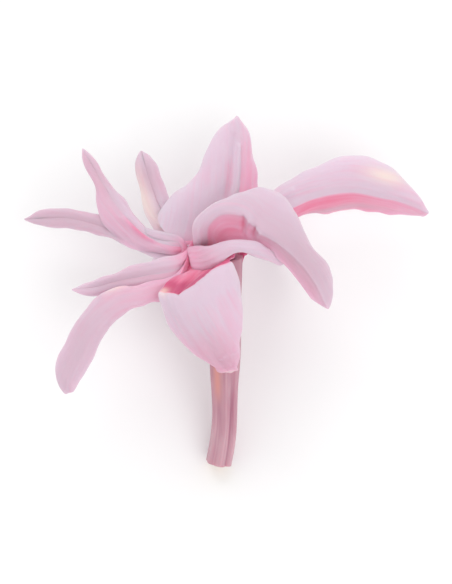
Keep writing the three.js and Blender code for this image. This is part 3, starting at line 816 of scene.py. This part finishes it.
def preserved_petal(look):
    """Petal tissue preserved with glycerine and dyed: it stays supple and a little translucent, with a soft,
    waxy satin surface. Dye gathers in the throat and in fine streaks along the veins. Deeper pink in creases,
    hollows and on lower faces, and grey-pink patches, are painted shade; cream on rolled edges is painted
    highlight."""
    material, tree, held = new_material(PETAL_FINISH, (*PETAL_MARKS, "under"))
    flat = add(tree, "ShaderNodeCombineXYZ", {0: held["across_mm"], 1: held["along_mm"]})
    streaked = add(tree, "ShaderNodeMapping", {"Vector": flat, "Scale": (1 / STREAK_GAP, 1 / STREAK_RUN, 1)})
    streaks = add(tree, "ShaderNodeTexNoise", {"Vector": streaked, "Scale": 1.0, "Detail": 4.0})
    celled = add(tree, "ShaderNodeMapping", {"Vector": flat, "Scale": (1 / CELL_WIDTH, 1 / CELL_LENGTH, 1)})
    grain = add(tree, "ShaderNodeTexNoise", {"Vector": celled, "Scale": 1.0, "Detail": 3.0})
    place = add(tree, "ShaderNodeTexCoord").outputs["Object"]
    clouds = add(tree, "ShaderNodeTexNoise", {"Vector": place, "Scale": 1 / (DYE_CLOUD * MM), "Detail": 2.0})
    # Lower faces take a little more pink: painted shade of the undersides.
    pigment_and_shade = pigment_and_shade_share(tree, (held["pink_and_shade"], 1.0), (streaks, 0.36), (clouds, 0.26), (held["under"], 0.06),
                    (1.0, -0.3))
    ramp = add(tree, "ShaderNodeValToRGB", {"Fac": pigment_and_shade})
    ramp.color_ramp.elements[0].color = look.pale
    ramp.color_ramp.elements[1].color = look.heart
    ramp.color_ramp.elements.new(ROSE_AT).color = look.rose
    ramp.color_ramp.elements.new(DEEP_AT).color = look.deep
    # Grey-pink mixed in where a petal is marked for painted shade.
    shaded = add(tree, "ShaderNodeMix", {MIX_FACTOR: held["painted_shade"], MIX_A: ramp, MIX_B: look.shade_colour},
                 data_type="RGBA").outputs[MIX_RESULT]
    # Cream mixed in: faded spots, and painted highlights on rolled edges.
    highlit_colour = add(tree, "ShaderNodeMix", {MIX_FACTOR: held["faded_and_highlit"], MIX_A: shaded, MIX_B: look.faded_and_highlit},
                 data_type="RGBA").outputs[MIX_RESULT]
    veined = add(tree, "ShaderNodeBump", {"Height": streaks, "Strength": 0.6, "Distance": 0.12 * MM})
    shader = add(tree, "ShaderNodeBsdfPrincipled", {
        "Base Color": highlit_colour,
        "Roughness": add(tree, "ShaderNodeMapRange", {"Value": grain, "To Min": 0.42, "To Max": 0.60}),
        "Normal": add(tree, "ShaderNodeBump", {"Height": grain, "Strength": 0.5, "Distance": 0.04 * MM,
                                               "Normal": veined}),
        "IOR": 1.42,
        "Subsurface Weight": 0.75,
        "Subsurface Radius": (1.0, 0.7, 0.75),
        "Subsurface Scale": 0.6 * MM,
        "Specular IOR Level": 0.35,
        "Sheen Weight": 0.12,
        "Sheen Roughness": 0.4,
    })
    add(tree, "ShaderNodeOutputMaterial", {"Surface": shader})
    return material


def preserved_tube(look):
    """The flower's tube is firmer tissue: satin and a dustier pink, with fibres lengthways and a tanned
    streak. It grows paler towards its cut end, which has dried to tan. Its one deep crease is painted darker,
    as painted shade."""
    material, tree, held = new_material("glycerine_preserved_tube", TUBE_MARKS)
    sine = add(tree, "ShaderNodeMath", {0: held["turn"]}, operation="SINE")
    cosine = add(tree, "ShaderNodeMath", {0: held["turn"]}, operation="COSINE")
    wound = add(tree, "ShaderNodeCombineXYZ", {0: sine, 1: cosine, 2: held["depth_mm"]})
    round_scale = TUBE_MEAN_RADIUS / FIBRE_WIDTH
    fibred = add(tree, "ShaderNodeMapping", {"Vector": wound,
                                             "Scale": (round_scale, round_scale, 1 / FIBRE_LENGTH)})
    fibres = add(tree, "ShaderNodeTexNoise", {"Vector": fibred, "Scale": 1.0, "Detail": 4.0})
    round_scale = TUBE_MEAN_RADIUS / BAND_WIDTH
    banded = add(tree, "ShaderNodeMapping", {"Vector": wound,
                                             "Scale": (round_scale, round_scale, 1 / BAND_LENGTH)})
    bands = add(tree, "ShaderNodeTexNoise", {"Vector": banded, "Scale": 1.0, "Detail": 2.0})
    fading = add(tree, "ShaderNodeMapRange", {"Value": held["depth_mm"], "From Min": FADE_START,
                                              "From Max": FADE_END})
    # The crease term deepens the colour along the crease: painted shade.
    pigment_and_shade = pigment_and_shade_share(tree, (fibres, 1.0), (bands, 0.9), (held["inside"], 0.25), (held["crease"], 0.4),
                    (fading, -0.3), (1.0, -0.4))
    ramp = add(tree, "ShaderNodeValToRGB", {"Fac": pigment_and_shade})
    ramp.color_ramp.elements[0].color = look.light
    ramp.color_ramp.elements[1].color = look.dark
    tanned = add(tree, "ShaderNodeMix", {MIX_FACTOR: held["ochre"], MIX_A: ramp, MIX_B: look.ochre},
                 data_type="RGBA").outputs[MIX_RESULT]
    cut = add(tree, "ShaderNodeMix", {MIX_FACTOR: held["cut"], MIX_A: tanned, MIX_B: look.pith},
              data_type="RGBA").outputs[MIX_RESULT]
    shader = add(tree, "ShaderNodeBsdfPrincipled", {
        "Base Color": cut,
        "Roughness": add(tree, "ShaderNodeMapRange", {"Value": fibres, "To Min": 0.4, "To Max": 0.6}),
        "Normal": add(tree, "ShaderNodeBump", {"Height": fibres, "Strength": 0.5, "Distance": 0.1 * MM}),
        "IOR": 1.42,
        "Subsurface Weight": 0.4,
        "Subsurface Radius": (1.0, 0.45, 0.5),
        "Subsurface Scale": 1.2 * MM,
        "Specular IOR Level": 0.4,
    })
    add(tree, "ShaderNodeOutputMaterial", {"Surface": shader})
    return material


def preserved_pistil(look):
    """Style and stigma: ivory tissue clouded with straw yellow, matt and finely pimpled."""
    material, tree, _ = new_material("glycerine_preserved_pistil")
    place = add(tree, "ShaderNodeTexCoord").outputs["Object"]
    pimples = add(tree, "ShaderNodeTexVoronoi", {"Vector": place, "Scale": 1 / (STIGMA_PIMPLE * MM)})
    clouds = add(tree, "ShaderNodeTexNoise", {"Vector": place, "Scale": 1 / (PISTIL_CLOUD * MM),
                                              "Detail": 3.0})
    ramp = add(tree, "ShaderNodeValToRGB", {"Fac": clouds})
    ramp.color_ramp.elements[0].color = look.ivory
    ramp.color_ramp.elements[1].color = look.straw
    shader = add(tree, "ShaderNodeBsdfPrincipled", {
        "Base Color": ramp,
        "Roughness": 0.62,
        "Normal": add(tree, "ShaderNodeBump", {"Height": pimples, "Strength": 0.4, "Distance": 0.05 * MM}),
        "Subsurface Weight": 0.3,
        "Subsurface Scale": 0.6 * MM,
    })
    add(tree, "ShaderNodeOutputMaterial", {"Surface": shader})
    return material


def matt_card(look):
    """The floor is a sheet of pale matt card, with the faint unevenness of card and no gloss."""
    material, tree, _ = new_material("matt_pale_card")
    place = add(tree, "ShaderNodeTexCoord").outputs["Object"]
    grain = add(tree, "ShaderNodeTexNoise", {"Vector": place, "Scale": 1 / (CARD_GRAIN * MM), "Detail": 2.0})
    shader = add(tree, "ShaderNodeBsdfPrincipled", {
        "Base Color": look.card,
        "Roughness": 0.9,
        "Specular IOR Level": 0.2,
        "Normal": add(tree, "ShaderNodeBump", {"Height": grain, "Strength": 0.1, "Distance": 0.05 * MM}),
    })
    add(tree, "ShaderNodeOutputMaterial", {"Surface": shader})
    return material


# --------------------------------------- sizes and colours

def millimetres(name, description, length):
    """A length that a user may change, given in mm and kept in metres."""
    return FloatProperty(name=name, description=description, default=length * MM, precision=5, unit="LENGTH")


def colour(name, description, code):
    """A colour that a user may change, given as six sRGB hex digits."""
    return FloatVectorProperty(name=name, description=description, default=linear(code), size=4, min=0, max=1,
                               subtype="COLOR")


class TuberosePetals(bpy.types.PropertyGroup):
    """Sizes and colours of the petals"""
    thickness: millimetres("Thickness", "Petal thickness at the midrib", 0.38)
    margin_thickness: millimetres("Margin thickness", "Petal thickness near its margin", 0.16)
    vein_spacing: millimetres("Vein spacing", "Distance between the fine veins", 0.75)
    vein_height: millimetres("Vein height", "How far a vein stands up", 0.018)
    midrib_groove: millimetres("Midrib groove", "Depth of the groove along the midrib", 0.06)
    waves: millimetres("Waves", "Height of the soft waves of a preserved petal", 0.3)
    ruffle: millimetres("Ruffle", "Height of the waves along the margins", 0.35)
    pale: colour("Pale", "Colour of the outer parts", "D7C5D3")
    rose: colour("Rose", "Colour nearer the throat", "E4A8C1")
    deep: colour("Deep", "Colour in the throat", "E2809F")
    heart: colour("Heart", "Colour deepest in the throat", "C85A80")
    # Grey-pink of the painted shade laid on petals in shade.
    shade_colour: colour("Dusty", "Colour that dulled dye tends to", "C8AAB9")
    # Also the colour of painted highlights on rolled edges.
    faded_and_highlit: colour("Cream", "Colour of the faded spots", "F1E6D2")


class TuberoseTube(bpy.types.PropertyGroup):
    """Sizes and colours of the floral tube"""
    ribs: IntProperty(name="Ribs", description="Ridges round the tube, one for each outer petal", default=6)
    rib_height: millimetres("Rib height", "How far a ridge stands up", 0.07)
    crease: millimetres("Crease", "Depth of the one deep crease", 0.16)
    light: colour("Light", "Colour between the fibres", "D1AAB4")
    dark: colour("Dark", "Colour along the fibres", "AF7086")
    ochre: colour("Ochre", "Colour of the tanned streak", "DA9C96")
    pith: colour("Pith", "Colour of the cut end", "D9B79A")


class TuberosePistil(bpy.types.PropertyGroup):
    """Colours of the pistil"""
    ivory: colour("Ivory", "Colour of the palest tissue", "EBDFBF")
    straw: colour("Straw", "Colour of the yellowest tissue", "DCC48F")


class TuberoseStage(bpy.types.PropertyGroup):
    """Camera, lights and floor"""
    camera_distance: millimetres("Camera distance", "From the flower's mouth to the camera", 350)
    floor_size: millimetres("Floor size", "Width of the floor", 6000)
    sky: FloatProperty(name="Sky strength", description="Strength of the even light from all round",
                       default=0.78)
    key_power: FloatProperty(name="Key power", description="Power of the soft light over the flower's top",
                             default=1.1, unit="POWER")
    fill_power: FloatProperty(name="Fill power", description="Power of the soft light beside the camera",
                              default=1.4, unit="POWER")
    card: colour("Card", "Colour of the floor", "FAFAFA")


# ----------------------------------------------- operators

class TUBEROSE_OT_outer_petals(bpy.types.Operator):
    """Model the six outer petals over their nodes"""
    bl_idname = "tuberose.outer_petals"
    bl_label = "Outer petals"

    def execute(self, context):
        lay_petals(OUTER_PETALS, RIM_CLAW, context.scene.tuberose_petals)
        return {"FINISHED"}


class TUBEROSE_OT_inner_petals(bpy.types.Operator):
    """Model the six inner petals over their nodes"""
    bl_idname = "tuberose.inner_petals"
    bl_label = "Inner petals"

    def execute(self, context):
        lay_petals(INNER_PETALS, MOUTH_CLAW, context.scene.tuberose_petals)
        return {"FINISHED"}


class TUBEROSE_OT_tube(bpy.types.Operator):
    """Model the ribbed floral tube with its throat and cut end"""
    bl_idname = "tuberose.tube"
    bl_label = "Floral tube"

    def execute(self, context):
        look = context.scene.tuberose_tube
        seat(flower_tube(look), "flower_tube", preserved_tube(look))
        return {"FINISHED"}


class TUBEROSE_OT_pistil(bpy.types.Operator):
    """Model the pistil that stands in the throat"""
    bl_idname = "tuberose.pistil"
    bl_label = "Pistil"

    def execute(self, context):
        seat(pistil(), "pistil", preserved_pistil(context.scene.tuberose_pistil))
        return {"FINISHED"}


class TUBEROSE_OT_stage(bpy.types.Operator):
    """Lay the pale floor, hang the soft lights and set the camera"""
    bl_idname = "tuberose.stage"
    bl_label = "Stage"

    def execute(self, context):
        look = context.scene.tuberose_stage
        lay_floor(look)
        light_stage(look)
        set_camera(look)
        return {"FINISHED"}


class TUBEROSE_PT_sidebar(bpy.types.Panel):
    """Steps that build the flower, with their sizes and colours"""
    bl_idname = "TUBEROSE_PT_sidebar"
    bl_label = "Tuberose"
    bl_space_type = "VIEW_3D"
    bl_region_type = "UI"
    bl_category = "Tuberose"

    def draw(self, context):
        for name, settings, operators in STEPS:
            box = self.layout.box()
            for setting in settings.__annotations__:
                box.prop(getattr(context.scene, name), setting)
            for operator in operators:
                box.operator(operator.bl_idname)


# --------------------------------------------------- stage

FRAME_SIZE = (452, 584)  # pixels
MM_TO_A_PIXEL = 0.126  # in the plane of the flower's mouth
MOUTH_PIXEL = (215, 258)  # where the middle of the mouth falls in the frame
SENSOR = 36.0  # mm, along the frame's longer side
NEAREST_SEEN = 0.01  # m
FURTHEST_SEEN = 20.0
KEY_PLACE = (-0.12, 0.42, 0.46)  # m
KEY_SIZE = 0.55
FILL_PLACE = (0.25, -0.35, 0.55)
FILL_SIZE = 0.6


def lay_floor(look):
    """A flat sheet of card under the flower, wide enough to fill the view from any side."""
    half = look.floor_size / 2
    mesh = bpy.data.meshes.new("floor")
    corners = [(-half, -half, 0), (half, -half, 0), (half, half, 0), (-half, half, 0)]
    mesh.from_pydata(corners, [], [(0, 1, 2, 3)])
    mesh.materials.append(matt_card(look))
    floor = new_object("floor", mesh)


def soft_light(name, place, size, power):
    """A round soft light that looks at the flower's mouth."""
    light = bpy.data.lights.new(name, "AREA")
    light.shape = "DISK"
    light.size = size
    light.energy = power
    lamp = new_object(name, light)
    lamp.location = place
    lamp.rotation_euler = (MOUTH_PLACE - Vector(place)).to_track_quat("-Z", "Y").to_euler()


def light_stage(look):
    """Even white light from all round, a key light over the flower's top and a fill light by the camera."""
    world = bpy.data.worlds.new("even_light")
    world.use_nodes = True
    background = world.node_tree.nodes["Background"]
    background.inputs["Color"].default_value = linear("FFFFFF")
    background.inputs["Strength"].default_value = look.sky
    bpy.context.scene.world = world
    soft_light("key_light", KEY_PLACE, KEY_SIZE, look.key_power)
    soft_light("fill_light", FILL_PLACE, FILL_SIZE, look.fill_power)
    bpy.context.scene.view_settings.view_transform = "Standard"


def set_camera(look):
    """The camera looks straight down the flower's own z, which shows the laid flower as if it stood."""
    distance = look.camera_distance / MM
    across = (FRAME_SIZE[0] / 2 - MOUTH_PIXEL[0]) * MM_TO_A_PIXEL
    up = (MOUTH_PIXEL[1] - FRAME_SIZE[1] / 2) * MM_TO_A_PIXEL
    data = bpy.data.cameras.new("camera")
    data.lens = SENSOR * distance / (max(FRAME_SIZE) * MM_TO_A_PIXEL)
    data.sensor_width = SENSOR
    data.clip_start = NEAREST_SEEN
    data.clip_end = FURTHEST_SEEN
    camera = new_object("camera", data)
    camera.location = LAID @ Vector((across, up, distance))
    camera.rotation_euler = (LYING_TILT, 0, 0)
    bpy.context.scene.camera = camera


# -------------------------------------------------- add-on

# The settings of each step under their name in the scene, and the operators that read them.
STEPS = [
    ("tuberose_petals", TuberosePetals, (TUBEROSE_OT_outer_petals, TUBEROSE_OT_inner_petals)),
    ("tuberose_tube", TuberoseTube, (TUBEROSE_OT_tube,)),
    ("tuberose_pistil", TuberosePistil, (TUBEROSE_OT_pistil,)),
    ("tuberose_stage", TuberoseStage, (TUBEROSE_OT_stage,)),
]
CLASSES = [cls for _, settings, operators in STEPS for cls in (settings, *operators)] + [TUBEROSE_PT_sidebar]


def register():
    """Make the settings, operators and panel known to Blender."""
    for cls in CLASSES:
        bpy.utils.register_class(cls)
    for name, settings, _ in STEPS:
        setattr(bpy.types.Scene, name, PointerProperty(type=settings))


def unregister():
    """Take back what register() did."""
    for name, _, _ in STEPS:
        delattr(bpy.types.Scene, name)
    for cls in reversed(CLASSES):
        bpy.utils.unregister_class(cls)


def main():
    """Build the flower and its stage."""
    register()
    bpy.ops.tuberose.outer_petals()
    bpy.ops.tuberose.inner_petals()
    bpy.ops.tuberose.tube()
    bpy.ops.tuberose.pistil()
    bpy.ops.tuberose.stage()


if __name__ == "__main__":
    main()
